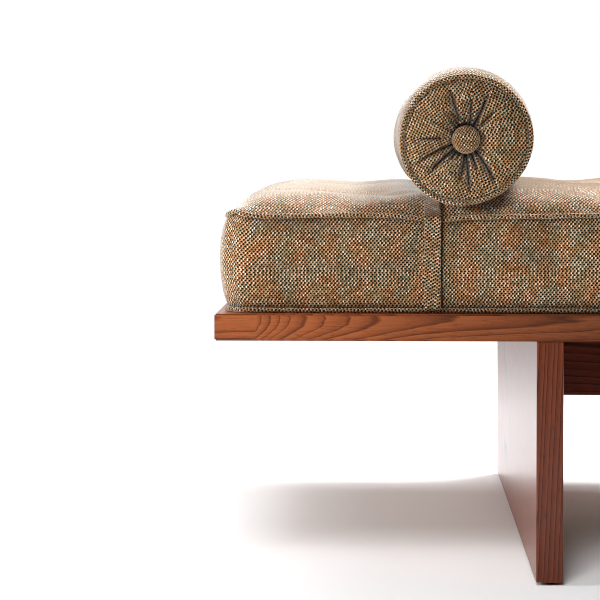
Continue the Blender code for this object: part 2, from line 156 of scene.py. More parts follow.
def lengths_along(points, closed=False):
    """Distance travelled at each point of a path, with the closing step if it is closed."""
    points = np.asarray(points)
    if closed:
        points = np.vstack([points, points[:1]])
    steps = np.linalg.norm(np.diff(points, axis=0), axis=1)
    return np.concatenate([[0], np.cumsum(steps)])


def smooth_step(low, high, value):
    share = np.clip((np.asarray(value, float) - low) / (high - low), 0, 1)
    return share * share * (3 - 2 * share)


def waves(coordinate, wavelengths, seed):
    """A smooth, irregular ripple between about -1 and 1."""
    draw = np.random.default_rng(seed)
    total = 0
    for length in wavelengths:
        total = total + np.sin(2 * math.pi * coordinate / length + draw.uniform(0, 2 * math.pi))
    return total / len(wavelengths)


# Materials


class Graph:
    """A material's node tree, with short calls for the nodes used here."""

    def __init__(self, name):
        self.material = bpy.data.materials.new(name)
        self.material.use_nodes = True
        self.tree = self.material.node_tree
        self.shader = self.tree.nodes["Principled BSDF"]

    def node(self, kind, inputs=None, **settings):
        made = self.tree.nodes.new(kind)
        for key, value in settings.items():
            setattr(made, key, value)
        for key, value in (inputs or {}).items():
            self.feed(made.inputs[key], value)
        return made

    def feed(self, socket, value):
        if isinstance(value, bpy.types.NodeSocket):
            self.tree.links.new(value, socket)
        else:
            socket.default_value = value

    def math(self, operation, *values):
        made = self.node("ShaderNodeMath", operation=operation)
        for socket, value in zip(made.inputs, values):
            self.feed(socket, value)
        return made.outputs[0]

    def mix(self, factor, first, second, blend="MIX"):
        made = self.node("ShaderNodeMix", data_type="RGBA", blend_type=blend)
        self.feed(made.inputs[0], factor)
        self.feed(made.inputs[6], first)
        self.feed(made.inputs[7], second)
        return made.outputs[2]

    def ramp(self, value, stops, interpolation="LINEAR"):
        made = self.node("ShaderNodeValToRGB", {"Fac": value})
        made.color_ramp.interpolation = interpolation
        elements = made.color_ramp.elements
        while len(elements) < len(stops):
            elements.new(0.5)
        for element, (position, colour) in zip(elements, stops):
            element.position = position
            element.color = (*colour, 1)
        return made.outputs[0]

    def noise(self, vector, scale, detail=2.0, roughness=0.5):
        made = self.node(
            "ShaderNodeTexNoise",
            {"Vector": vector, "Scale": scale, "Detail": detail, "Roughness": roughness},
        )
        return made.outputs[0]

    def remap(self, value, low, high, at_low, at_high):
        """The value between low and high, carried over to between at_low and at_high."""
        inputs = {"Value": value, 1: low, 2: high, 3: at_low, 4: at_high}
        return self.node("ShaderNodeMapRange", inputs).outputs[0]

    def length(self, first, second):
        """The length of the step made of two others at right angles."""
        squares = [self.math("MULTIPLY", value, value) for value in (first, second)]
        return self.math("SQRT", self.math("ADD", *squares))

    def split(self, vector):
        return self.node("ShaderNodeSeparateXYZ", {"Vector": vector}).outputs[:3]

    def join(self, x=0.0, y=0.0, z=0.0):
        return self.node("ShaderNodeCombineXYZ", {"X": x, "Y": y, "Z": z}).outputs[0]

    def bump(self, height, strength, distance):
        inputs = {"Height": height, "Strength": strength, "Distance": distance}
        made = self.node("ShaderNodeBump", inputs)
        self.feed(self.shader.inputs["Normal"], made.outputs[0])


STITCH = 0.00416  # one dark knot and its two pale stitches, across the cloth
PICK = 0.00237  # from one row of knots to the next
# Places along a stitch repeat, as shares of it
KNOT_MIDDLE = 0.30
KNOT_HALF = 0.285
ORANGE_FROM, ORANGE_TO = 0.13, 0.73
STITCH_BLEND = 0.03
GROOVE = 0.735  # between the cream stitch and the orange one
# Painted shade: the near-black that creases and seams are darkened towards.
PAINTED_SHADE_COLOUR = (0.012, 0.008, 0.005, 1)
KNOT_TONES = (
    (0.0, (0.003, 0.004, 0.001)),
    (0.50, (0.006, 0.012, 0.004)),
    (0.80, (0.016, 0.028, 0.012)),
    (0.95, (0.050, 0.060, 0.034)),
    (1.0, (0.110, 0.045, 0.018)),
)
ORANGE_TONES = (
    (0.0, (0.30, 0.090, 0.020)),
    (0.50, (0.48, 0.138, 0.034)),
    (0.85, (0.60, 0.198, 0.060)),
    (1.0, (0.70, 0.34, 0.14)),
)
CREAM_TONES = (
    (0.0, (0.26, 0.22, 0.11)),
    (0.20, (0.46, 0.32, 0.155)),
    (0.55, (0.61, 0.46, 0.265)),
    (0.85, (0.78, 0.66, 0.45)),
    (1.0, (1.0, 0.95, 0.84)),
)


def tweed(name, turn=0.0):
    """Dark knots in staggered rows, each with an orange stitch on one side and a cream one on
    the other, all leaning the same way."""
    g = Graph(name)
    place = g.node("ShaderNodeUVMap", uv_map="weave").outputs[0]
    turned = {"Vector": place, "Rotation": (0, 0, math.radians(turn))}
    place = g.node("ShaderNodeMapping", turned).outputs[0]
    wander = g.noise(place, 70.0, 2.0)
    sway = g.noise(place, 260.0, 1.0)
    u, v, _ = g.split(place)
    u = g.math("MULTIPLY_ADD", g.math("SUBTRACT", wander, 0.5), 0.0016, u)
    v = g.math("MULTIPLY_ADD", g.math("SUBTRACT", sway, 0.5), 0.0009, v)
    v = g.math("DIVIDE", v, PICK)
    row = g.math("FLOOR", v)
    up = g.math("SUBTRACT", g.math("SUBTRACT", v, row), 0.5)
    stagger = g.math("MULTIPLY", g.math("FLOORED_MODULO", row, 2.0), 0.5)
    jitter = g.node("ShaderNodeTexWhiteNoise", {"W": row}, noise_dimensions="1D").outputs[0]
    u = g.math("ADD", g.math("DIVIDE", u, STITCH), g.math("MULTIPLY_ADD", jitter, 0.20, stagger))
    u = g.math("MULTIPLY_ADD", up, -0.07, u)
    column = g.math("FLOOR", u)
    along = g.math("SUBTRACT", u, column)

    cell = g.join(column, row)
    draw = g.node("ShaderNodeTexWhiteNoise", {"Vector": cell}, noise_dimensions="2D")
    red, green, blue = g.split(draw.outputs["Color"])
    knot_colour = g.ramp(red, KNOT_TONES)
    orange = g.ramp(green, ORANGE_TONES)
    cream = g.ramp(blue, CREAM_TONES)

    from_knot = g.math("DIVIDE", g.math("SUBTRACT", along, KNOT_MIDDLE), KNOT_HALF)
    rise = g.math("DIVIDE", up, 0.50)
    away = g.length(from_knot, rise)
    knot = g.remap(away, 0.92, 1.08, 1.0, 0.0)
    until = g.remap(along, ORANGE_TO - STITCH_BLEND, ORANGE_TO + STITCH_BLEND, 1.0, 0.0)
    since = g.remap(along, ORANGE_FROM - STITCH_BLEND, ORANGE_FROM + STITCH_BLEND, 0.0, 1.0)
    pale = g.mix(g.math("MULTIPLY", until, since), cream, orange)
    middle = g.math("FLOORED_MODULO", g.math("ADD", along, 0.45), 1.0)
    middle = g.math("ABSOLUTE", g.math("SUBTRACT", middle, 0.5))
    # Painted shade: the pale stitches are darkened in the groove between the cream and orange stitches
    # and where the rows meet.
    seam = g.math("ABSOLUTE", g.math("SUBTRACT", along, GROOVE))
    groove = g.remap(seam, 0.0, 0.07, 0.72, 1.0)
    gap = g.remap(g.math("ABSOLUTE", up), 0.36, 0.5, 1.0, 0.84)
    pale = g.mix(1.0, pale, g.math("MULTIPLY", groove, gap), "MULTIPLY")
    colour = g.mix(knot, pale, knot_colour)
    patch = g.remap(g.noise(place, 14.0, 3.0), 0.3, 0.7, 0.94, 1.06)
    colour = g.mix(1.0, colour, patch, "MULTIPLY")
    # Painted shade: the colour is drawn towards a near-black where the mesh marks shade in creases and
    # seams.
    crease_shade = g.node("ShaderNodeAttribute", attribute_name="crease_shade").outputs["Fac"]
    colour = g.mix(g.math("MULTIPLY", crease_shade, 0.93), colour, PAINTED_SHADE_COLOUR)
    g.feed(g.shader.inputs["Base Color"], colour)
    g.shader.inputs["Roughness"].default_value = 0.95
    g.shader.inputs["Specular IOR Level"].default_value = 0.04
    g.shader.inputs["Sheen Weight"].default_value = 1.0
    g.shader.inputs["Sheen Roughness"].default_value = 0.37
    g.shader.inputs["Sheen Tint"].default_value = (1.0, 0.99, 0.97, 1)
    stitches = g.math("MULTIPLY", groove, g.math("SUBTRACT", 1.0, middle))
    height = g.math("MAXIMUM", g.math("SUBTRACT", 1.25, away), g.math("MULTIPLY", stitches, 0.55))
    g.bump(g.math("MULTIPLY", height, gap), 0.55, 0.0008)
    return g.material


WALNUT_TONES = (
    (0.0, (0.500, 0.160, 0.048)),
    (0.45, (0.430, 0.130, 0.038)),
    (0.78, (0.320, 0.090, 0.027)),
    (0.93, (0.095, 0.026, 0.010)),
    (1.0, (0.400, 0.118, 0.034)),
)
WALNUT_PLAIN = (0.36, 0.107, 0.033)
PORE_COLOUR = (0.05, 0.018, 0.008, 1)
GRAIN_TURNS = {"X": (0, 0, 0), "Y": (0, 0, -90), "Z": (0, 90, 0)}


def walnut(
    name, grain, pith, rise=0.04, ring=0.0034, tone=(1, 1, 1), shift=0.0,
    contrast=1.0, waver=0.030, gloss=1.0, arches=None, shade_falloff=None,
):
    """Oiled walnut: growth rings round a pith line that leaves the board at a slight angle.

    grain is the axis it runs along, and pith the pith's place in the two other directions.
    arches gives where nested arches begin, how fast they draw out, and how many metres of growth
    they hold. The last argument is painted shade along the board: where it begins and ends, and how dark.
    """
    g = Graph(name)
    place = g.node("ShaderNodeTexCoord").outputs["Object"]
    turn = tuple(math.radians(angle) for angle in GRAIN_TURNS[grain])
    turned = {"Vector": place, "Rotation": turn, "Location": (shift, 0, 0)}
    place = g.node("ShaderNodeMapping", turned).outputs[0]
    x, y, z = g.split(place)

    def drawn_out(share):
        """The place with the grain's direction shortened, which draws a pattern out along it."""
        return g.join(g.math("MULTIPLY", x, share), y, z)

    slow = g.noise(drawn_out(0.28), 9.0, 2.0)
    slow = g.math("MULTIPLY", g.math("SUBTRACT", slow, 0.5), waver)
    side = g.math("SUBTRACT", g.math("ADD", y, slow), pith[0])
    height = g.math("SUBTRACT", g.math("ADD", z, slow), pith[1])
    radius = g.math("MULTIPLY_ADD", x, rise, g.length(side, height))
    if arches:
        start, length, growth = arches
        past = g.math("MAXIMUM", g.math("SUBTRACT", x, start), 0.0)
        left = g.math("EXPONENT", g.math("DIVIDE", past, -length))
        radius = g.math("MULTIPLY_ADD", left, -growth, radius)
    close = [g.math("MULTIPLY", value, scale) for value, scale in ((x, 3.0), (y, 40.0), (z, 40.0))]
    fine = g.noise(g.join(*close), 6.0, 4.0)
    radius = g.math("MULTIPLY_ADD", g.math("SUBTRACT", fine, 0.5), 0.0012, radius)
    year = g.math("DIVIDE", radius, ring)
    uneven = g.noise(g.join(radius), 180.0, 1.0)
    year = g.math("ADD", year, g.math("MULTIPLY", uneven, 1.4))
    colour = g.ramp(g.math("FRACT", year), WALNUT_TONES)
    colour = g.mix(contrast, (*WALNUT_PLAIN, 1), colour)

    fibre = g.remap(g.noise(drawn_out(0.035), 1500.0, 3.0, 0.6), 0.3, 0.7, 0.80, 1.16)
    colour = g.mix(1.0, colour, fibre, "MULTIPLY")
    pore = g.remap(g.noise(drawn_out(0.12), 900.0, 1.0), 0.62, 0.70, 0.0, 0.30)
    colour = g.mix(pore, colour, PORE_COLOUR)
    drift = g.remap(g.noise(drawn_out(0.4), 4.0, 2.0), 0.3, 0.7, 0.86, 1.12)
    colour = g.mix(1.0, colour, drift, "MULTIPLY")
    # Painted shade: the colour is dimmed along the board, as light falls off away from its left end.
    if shade_falloff:
        start, end, share = shade_falloff
        colour = g.mix(1.0, colour, g.remap(x, start, end, 1.0, share), "MULTIPLY")
    colour = g.mix(1.0, colour, (*tone, 1), "MULTIPLY")
    g.feed(g.shader.inputs["Base Color"], colour)
    g.feed(g.shader.inputs["Roughness"], g.remap(fibre, 0.8, 1.16, 0.36, 0.28))
    g.shader.inputs["Specular IOR Level"].default_value = 0.28 * gloss
    g.shader.inputs["Coat Weight"].default_value = 0.15 * gloss
    g.shader.inputs["Coat Roughness"].default_value = 0.22
    g.bump(g.math("SUBTRACT", fibre, pore), 0.12, 0.0003)
    return g.material


POPLAR_TONES = ((0.25, (0.44, 0.29, 0.16)), (0.55, (0.56, 0.40, 0.24)), (0.8, (0.62, 0.47, 0.30)))
ZINC_TONES = ((0.3, (0.50, 0.50, 0.48)), (0.7, (0.68, 0.67, 0.62)))
NYLON_TONES = ((0.3, (0.012, 0.012, 0.013)), (0.7, (0.030, 0.030, 0.032)))


def pale_wood(name):
    """Bare poplar for the slats and the loose tongues."""
    g = Graph(name)
    place = g.node("ShaderNodeTexCoord").outputs["Object"]
    x, y, z = g.split(place)
    grain = g.noise(g.join(x, g.math("MULTIPLY", y, 0.05), z), 220.0, 4.0)
    g.feed(g.shader.inputs["Base Color"], g.ramp(grain, POPLAR_TONES))
    g.shader.inputs["Roughness"].default_value = 0.65
    g.bump(grain, 0.3, 0.0003)
    return g.material


def zinc(name):
    """Zinc-plated steel for the bolts and barrel nuts."""
    g = Graph(name)
    place = g.node("ShaderNodeTexCoord").outputs["Object"]
    mottle = g.noise(place, 700.0, 3.0)
    g.feed(g.shader.inputs["Base Color"], g.ramp(mottle, ZINC_TONES))
    g.shader.inputs["Metallic"].default_value = 1.0
    g.feed(g.shader.inputs["Roughness"], g.remap(mottle, 0.3, 0.7, 0.28, 0.42))
    return g.material


def nylon(name):
    """Black nylon for the glides."""
    g = Graph(name)
    place = g.node("ShaderNodeTexCoord").outputs["Object"]
    grit = g.noise(place, 1800.0, 2.0)
    g.feed(g.shader.inputs["Base Color"], g.ramp(grit, NYLON_TONES))
    g.shader.inputs["Roughness"].default_value = 0.55
    g.bump(grit, 0.2, 0.0002)
    return g.material


def finish_with(thing, material, body, slot, *nodes):
    """Gives a new piece its material and body, and hides the CAD nodes that it stands for; the slot is
    not used.
    """
    thing.data.materials.clear()
    thing.data.materials.append(material)
    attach(thing, body)
    if nodes:
        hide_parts(*nodes)
    return thing


# Mattress


def roll(distance, tight=EDGE_ROLL):
    """Share of the crown's height at a distance in from the welt: a tight edge, then a slow rise."""
    inward = np.maximum(distance, 0)
    return 1 - EDGE_SHARE * np.exp(-inward / tight) - (1 - EDGE_SHARE) * np.exp(-inward / WIDE_ROLL)


def seam_half():
    return WELT_HALF.x - WELT_INSET, WELT_HALF.y - WELT_INSET


def tuft_spots():
    columns = [(index - (TUFT_COLUMNS - 1) / 2) * TUFT_PITCH for index in range(TUFT_COLUMNS)]
    rows = [(index - (TUFT_ROWS - 1) / 2) * TUFT_ROW_PITCH for index in range(TUFT_ROWS)]
    return [(x, y) for x in columns for y in rows]


def from_lines(value, pitch, count):
    """Distance to the nearest of a count of evenly spaced lines about zero."""
    index = np.clip(np.round(value / pitch + (count - 1) / 2), 0, count - 1)
    return np.abs(value - (index - (count - 1) / 2) * pitch)


def welt_height(x):
    """The welt rides a little higher at the tuft columns, and dips where the strap pulls on it."""
    height = WELT_Z + 0.0010 * np.cos(2 * math.pi * x / TUFT_PITCH)
    for spot in STRAP_SPOTS:
        height = height - 0.0042 * np.exp(-(((x - spot) / 0.028) ** 2))
    return height


def top_height(x, y):
    """The foam's crown under the cover, with a dimple at each tuft and soft valleys between them."""
    half_x, half_y = seam_half()
    lift = roll(half_x - np.abs(x), END_ROLL) * roll(half_y - np.abs(y))
    across = from_lines(x, TUFT_PITCH, TUFT_COLUMNS)
    along = from_lines(y, TUFT_ROW_PITCH, TUFT_ROWS)
    away = np.hypot(across, along)
    dimple = TUFT_DEPTH * np.exp(-away / 0.034)
    valley = 0.0040 * np.exp(-((across / 0.036) ** 2)) + 0.0026 * np.exp(-((along / 0.040) ** 2))
    swell = 0.0028 * np.cos(2 * math.pi * x / TUFT_PITCH + math.pi) + 0.0012
    return welt_height(x) + lift * (CREST + swell - dimple - valley)


class MattressGrid:
    """Indexes of the cover: a top grid, rings down the sides, and a bottom grid."""

    def __init__(self):
        self.half_x, self.half_y = seam_half()
        self.lines_x = self.stations()
        self.columns = len(self.lines_x)
        self.rows = round(2 * self.half_y / CELL) + 1
        self.top = np.arange(self.rows * self.columns).reshape(self.rows, self.columns)
        self.loop = self.boundary(self.top)
        count = self.top.size
        self.rings = [self.loop]
        for _ in SIDE_SHARES[1:-1]:
            self.rings.append(np.arange(count, count + len(self.loop)))
            count += len(self.loop)
        self.bottom = np.arange(count, count + self.top.size).reshape(self.rows, self.columns)
        self.rings.append(self.boundary(self.bottom))
        self.total = count + self.top.size

    def stations(self):
        """Columns across the length, closer together beside the strap."""
        even = np.linspace(-self.half_x, self.half_x, round(2 * self.half_x / CELL) + 1)
        near = np.array([0.0, 0.0014, 0.0028, 0.0045, 0.0075]) + STRAP_WIDTH / 2 - 0.0010
        close = np.concatenate([STRAP_X - near, STRAP_X + near])
        kept = [x for x in even if np.abs(close - x).min() > 0.0035]
        return np.sort(np.concatenate([kept, close]))

    @staticmethod
    def boundary(grid):
        return np.concatenate([grid[0, :-1], grid[:-1, -1], grid[-1, :0:-1], grid[:0:-1, 0]])

    def flat(self):
        """The grid's x and y, with its corners drawn in to round ones."""
        x, y = np.meshgrid(self.lines_x, np.linspace(-self.half_y, self.half_y, self.rows))
        corner = 2.2 * CORNER
        over_x = np.clip((np.abs(x) - self.half_x + corner) / corner, 0, 1)
        over_y = np.clip((np.abs(y) - self.half_y + corner) / corner, 0, 1)
        new_x = over_x * np.sqrt(1 - over_y**2 / 2 * over_x**2)
        new_y = over_y * np.sqrt(1 - over_x**2 / 2 * over_y**2)
        x = np.sign(x) * (np.abs(x) - corner * (over_x - new_x))
        y = np.sign(y) * (np.abs(y) - corner * (over_y - new_y))
        return x, y


def side_profile(share):
    """How far the boxing stands out from the seam, from the top welt (0) to the bottom welt (1)."""
    return BULGE * np.sin(math.pi * share) ** 0.75 - 0.0018 * (np.abs(2 * share - 1) ** 6)


def strap_pinch(x):
    """1 where the strap presses on the boxing at either end of its slide, falling to 0 beside it."""
    pinch = 0
    for spot in STRAP_SPOTS:
        beside = np.maximum(np.abs(x - spot) - STRAP_WIDTH / 2, 0)
        pinch = np.maximum(pinch, np.exp(-((beside / PINCH_REACH) ** 2)))
    return pinch


def strap_crease(x):
    """1 along the crease that the cover makes against the strap's right edge, at rest."""
    return np.exp(-(((x - STRAP_X - STRAP_WIDTH / 2 - CREASE_OFFSET) / CREASE_WIDTH) ** 2))


def loop_normals(loop):
    """Level, outward unit normals along a closed loop."""
    ahead = np.roll(loop, -1, 0) - np.roll(loop, 1, 0)
    normal = np.stack([ahead[:, 1], -ahead[:, 0], np.zeros(len(loop))], -1)
    return normal / np.linalg.norm(normal, axis=1)[:, None]


def on_long_side(loop):
    """Which points of a closed loop lie along the front or the back."""
    return np.abs(loop_normals(loop)[:, 1]) > 0.9


def mattress_painted_shade(grid):
    """Painted shade for each point of the cover, from 0 to 1: in the seams beside the welts and in the
    crease beside the strap.
    """
    shade_amounts = np.zeros(grid.total)
    x, y = grid.flat()
    seam = np.stack([x, y], -1).reshape(-1, 2)[grid.loop]
    crease = strap_crease(seam[:, 0]) * on_long_side(seam)
    for share, ring in zip(SIDE_SHARES, grid.rings):
        shade_amounts[ring] = np.maximum(SEAM_SHADE.get(share, 0), crease * (share < 1))
    near_edge = np.exp(-(((grid.half_y - np.abs(y)) / 0.016) ** 2))
    shade_amounts[grid.top.ravel()] = (strap_crease(x) * near_edge).ravel()
    return shade_amounts


def mattress_points(grid):
    """Where the cover lies before it is simulated."""
    points = np.zeros((grid.total, 3))
    x, y = grid.flat()
    points[grid.top.ravel()] = np.stack([x, y, top_height(x, y)], -1).reshape(-1, 3)
    bottom_z = deck_top + COVER_CLEARANCE
    points[grid.bottom.ravel()] = np.stack([x, y, np.full_like(x, bottom_z)], -1).reshape(-1, 3)
    seam = points[grid.loop].copy()
    low_seam_z = deck_top + PIPING_RADIUS
    outward = loop_normals(seam)
    travelled = lengths_along(seam, closed=True)[:-1]
    pinch = strap_pinch(seam[:, 0]) * on_long_side(seam)
    crease = strap_crease(seam[:, 0]) * on_long_side(seam)
    for index, ring in enumerate(grid.rings[1:-1], start=1):
        share = SIDE_SHARES[index]
        out = side_profile(share) * (1 - 0.85 * pinch) - 0.0032 * crease
        sag = 0.0009 * waves(travelled, (0.31, 0.17, 0.093), 3 + index // 4)
        pucker = 0.0008 * waves(travelled, (0.024, 0.037, 0.019), 5)
        out = out + sag * math.sin(math.pi * share) + pucker * math.exp(-share * 6)
        ring_points = seam + outward * out[:, None]
        ring_points[:, 2] = seam[:, 2] + (low_seam_z - seam[:, 2]) * share
        points[ring] = ring_points
    points[grid.rings[-1], 2] = low_seam_z - 0.0012
    return points


def mattress_faces(grid):
    """Quads and their place in the weave: the panels by x and y, the boxing along its length."""
    x, y = grid.flat()
    faces, uvs = [], []

    def add(face, place):
        faces.append([int(i) for i in face])
        uvs.extend(place)

    flat = {}
    for ids in (grid.top, grid.bottom):
        for index, px, py in zip(ids.ravel(), x.ravel(), y.ravel()):
            flat[int(index)] = (px, py)
    for ids, step in ((grid.top, 1), (grid.bottom, -1)):
        for corners in grid_faces(grid.rows, grid.columns):
            face = ids.ravel()[list(corners)][::step]
            add(face, [flat[int(i)] for i in face])
    seam = np.stack([x, y], -1).reshape(-1, 2)[grid.loop]
    travelled = lengths_along(seam, closed=True)
    height = WELT_Z - deck_top
    count = len(grid.loop)
    for index, (share, below) in enumerate(zip(SIDE_SHARES, SIDE_SHARES[1:])):
        upper, lower = grid.rings[index], grid.rings[index + 1]
        v_up, v_down = height * (1 - share), height * (1 - below)
        for step in range(count):
            after = (step + 1) % count
            face = (upper[step], lower[step], lower[after], upper[after])
            u, u_after = travelled[step], travelled[step + 1]
            add(face, [(u, v_up), (u, v_down), (u_after, v_down), (u_after, v_up)])
    return faces, uvs


def simulate_cover(grid, points, faces):
    """Fills the cover with its foam: pressure from inside, seams sewn and tufts tied down."""
    cloth_object = mesh_object("cover_cloth", points, faces, [(0, 0)] * sum(map(len, faces)))
    pins = cloth_object.vertex_groups.new(name="sewn")
    tied = set(int(i) for i in grid.loop) | set(range(int(grid.rings[-2][0]), grid.total))
    spots = points[grid.top.ravel()]
    for x, y in tuft_spots():
        near = np.hypot(spots[:, 0] - x, spots[:, 1] - y) < TIE_RADIUS
        tied |= set(int(i) for i in np.nonzero(near)[0])
    pins.add(sorted(tied), 1.0, "REPLACE")
    cloth = cloth_object.modifiers.new("cloth", "CLOTH")
    settings = cloth.settings
    settings.quality = 5
    settings.mass = 0.3
    settings.tension_stiffness = 18
    settings.compression_stiffness = 18
    settings.shear_stiffness = 8
    settings.bending_stiffness = 1.2
    settings.air_damping = 4
    settings.use_pressure = True
    settings.uniform_pressure_force = 2.2
    settings.shrink_min = -0.022
    settings.vertex_group_mass = "sewn"
    settings.effector_weights.gravity = 0
    cloth.point_cache.frame_start = 1
    cloth.point_cache.frame_end = SETTLE_FRAMES
    scene = bpy.context.scene
    for frame_number in range(1, SETTLE_FRAMES + 1):
        scene.frame_set(frame_number)
    evaluated = cloth_object.evaluated_get(bpy.context.evaluated_depsgraph_get())
    settled = np.zeros(len(evaluated.data.vertices) * 3)
    evaluated.data.vertices.foreach_get("co", settled)
    scene.frame_set(1)
    bpy.data.objects.remove(cloth_object, do_unlink=True)
    return settled.reshape(-1, 3)


def capped(points, settled, most):
    """Moves points towards where they settled, by no more than most."""
    move = settled - points
    length = np.linalg.norm(move, axis=1, keepdims=True)
    soft = most * np.tanh(length / most)
    return points + move * np.divide(soft, length, out=np.ones_like(length), where=length > 1e-9)


def tube(name, path, radius, up=(0, 0, 1), shade_amounts=None):
    """A round cord of fabric along a closed path."""
    sides = 10
    path = np.asarray(path, float)
    ahead = np.roll(path, -1, 0) - np.roll(path, 1, 0)
    ahead /= np.linalg.norm(ahead, axis=1)[:, None]
    side = np.cross(ahead, np.asarray(up, float))
    side /= np.linalg.norm(side, axis=1)[:, None]
    over = np.cross(side, ahead)
    angles = np.linspace(0, 2 * math.pi, sides, endpoint=False)
    swell = radius * (1 + 0.05 * waves(lengths_along(path, True)[:-1], (0.021, 0.034, 0.013), 8))
    rings = (
        path[:, None]
        + swell[:, None, None] * np.cos(angles)[None, :, None] * side[:, None]
        + swell[:, None, None] * np.sin(angles)[None, :, None] * over[:, None]
    )
    faces = grid_faces(len(path), sides, close_rows=True, close_columns=True)
    around = np.linspace(0, 2 * math.pi * radius, sides + 1)
    if shade_amounts is not None:
        shade_amounts = np.repeat(shade_amounts, sides)
    uvs = grid_uvs(around, lengths_along(path, True))
    return mesh_object(name, rings.reshape(-1, 3), faces, uvs, shade_amounts)


def make_mattress(fabric, across):
    """The cover over its foam, the two welts and the tuft buttons."""
    grid = MattressGrid()
    points = mattress_points(grid)
    faces, uvs = mattress_faces(grid)
    points = capped(points, simulate_cover(grid, points, faces), MOST_SETTLING)
    cover = mesh_object("mattress_cover", points, faces, uvs, mattress_painted_shade(grid))
    finer = cover.modifiers.new("finer", "SUBSURF")
    finer.levels = 1
    finer.render_levels = 1
    finish_with(
        cover, fabric, "mattress", "tweed",
        "mattress_core", "mattress_top_panel", "mattress_boxing", "mattress_bottom_panel",
    )

    seam = points[grid.loop]
    outward = loop_normals(seam)
    # Painted shade on the top welt where it meets the crease beside the strap.
    shade_beside_strap = strap_crease(seam[:, 0]) * on_long_side(seam)
    high = seam + outward * 0.0006 + [0, 0, -0.0006]
    welt = tube("mattress_top_welt", high, PIPING_RADIUS, shade_amounts=shade_beside_strap)
    finish_with(welt, across, "mattress", "tweed", "mattress_top_piping")
    low = points[grid.rings[-1]].copy()
    low[:, 2] = deck_top + PIPING_RADIUS + 0.0003
    welt = tube("mattress_bottom_welt", low + loop_normals(low) * 0.0006, PIPING_RADIUS)
    finish_with(welt, across, "mattress", "tweed", "mattress_bottom_piping")
    make_tuft_buttons(fabric)


def dome_button(radius, height, rings=7, sides=28):
    """Points, faces and weave of a covered button, domed along +Z, with its underside closed."""
    points, places = [(0, 0, height)], [(0, 0)]
    for ring in range(1, rings):
        angle = math.radians(100) * ring / (rings - 1)
        for step in range(sides):
            turn = 2 * math.pi * step / sides
            reach = radius * math.sin(angle)
            points.append((reach * math.cos(turn), reach * math.sin(turn), height * math.cos(angle)))
            spread = radius * angle
            places.append((spread * math.cos(turn), spread * math.sin(turn)))
    faces = [(0, 1 + (step + 1) % sides, 1 + step) for step in range(sides)]
    for ring in range(rings - 2):
        here = 1 + ring * sides
        for step in range(sides):
            after = (step + 1) % sides
            faces.append((here + step, here + after, here + sides + after, here + sides + step))
    last = 1 + (rings - 2) * sides
    faces.append(tuple(last + step for step in reversed(range(sides))))
    return np.array(points), faces, [places[index] for face in faces for index in face]


def make_tuft_buttons(fabric):
    shape, faces, uvs = dome_button(TUFT_BUTTON_RADIUS, TUFT_BUTTON_HEIGHT)
    for number, (x, y) in enumerate(tuft_spots()):
        turn = rng.uniform(0, 2 * math.pi)
        turned = shape.copy()
        turned[:, 0] = shape[:, 0] * math.cos(turn) - shape[:, 1] * math.sin(turn) + x
        turned[:, 1] = shape[:, 0] * math.sin(turn) + shape[:, 1] * math.cos(turn) + y
        turned[:, 2] += float(top_height(np.array(x), np.array(y))) + 0.0012
        button = mesh_object(f"tuft_button_{number + 1:02d}", turned, faces, uvs)
        finish_with(button, fabric, "mattress", "tweed")


# Bolster

BODY_RADIUS = 0.0770
RING_RADIUS = 0.0712
RING_CORD = 0.0028
BODY_LIFT = 0.0055  # the filled body stands higher than its ends
ARCH = 0.0023
HALF = -(ring_low.y + RING_CORD)
REST_GAP = 0.0036  # between the mattress's crest and the bolster's underside, for the strap
END_BUTTON_RADIUS = 0.0157
END_BUTTON_HEIGHT = 0.0066
PLEATS = (  # each fold's direction at the rim and at the button in degrees, its two ends, its depth
    (33, 30, 0.018, 0.034, 0.5),
    (47, 44, 0.024, 0.060, 0.6),
    (66, 60, 0.016, 0.066, 1.0),
    (88, 77, 0.016, 0.056, 0.9),
    (96, 94, 0.016, 0.038, 0.6),
    (107, 110, 0.026, 0.067, 0.9),
    (122, 117, 0.016, 0.048, 0.8),
    (133, 128, 0.018, 0.044, 0.7),
    (152, 150, 0.016, 0.034, 0.6),
    (181, 176, 0.030, 0.066, 0.6),
    (208, 198, 0.018, 0.067, 0.7),
    (224, 218, 0.018, 0.064, 0.9),
    (233, 231, 0.016, 0.040, 0.8),
    (246, 243, 0.016, 0.036, 0.6),
    (259, 265, 0.016, 0.056, 0.9),
    (275, 272, 0.016, 0.067, 0.9),
    (285, 292, 0.016, 0.046, 1.0),
    (302, 311, 0.016, 0.067, 1.0),
    (328, 326, 0.017, 0.036, 0.5),
    (5, 8, 0.022, 0.040, 0.4),
)


def axis_height(y):
    """Height of the bolster's middle: it drops sharply to its ends."""
    from_end = HALF - np.abs(y)
    return BOLSTER_END_Z + BODY_LIFT * (1 - np.exp(-from_end / 0.013)) + ARCH * (1 - (y / HALF) ** 4)


def out_of_round(angle):
    """How far the stuffed ends are from true circles."""
    return 1 + 0.010 * np.cos(2 * angle) + 0.016 * np.sin(2 * angle) + 0.011 * np.cos(3 * angle)


def resting_floor(y):
    """The lowest the bolster's underside may be, over the mattress's crest and the strap."""
    half_y = seam_half()[1]
    lift = roll(half_y - np.abs(y))
    return WELT_Z + lift * (CREST + REST_GAP)


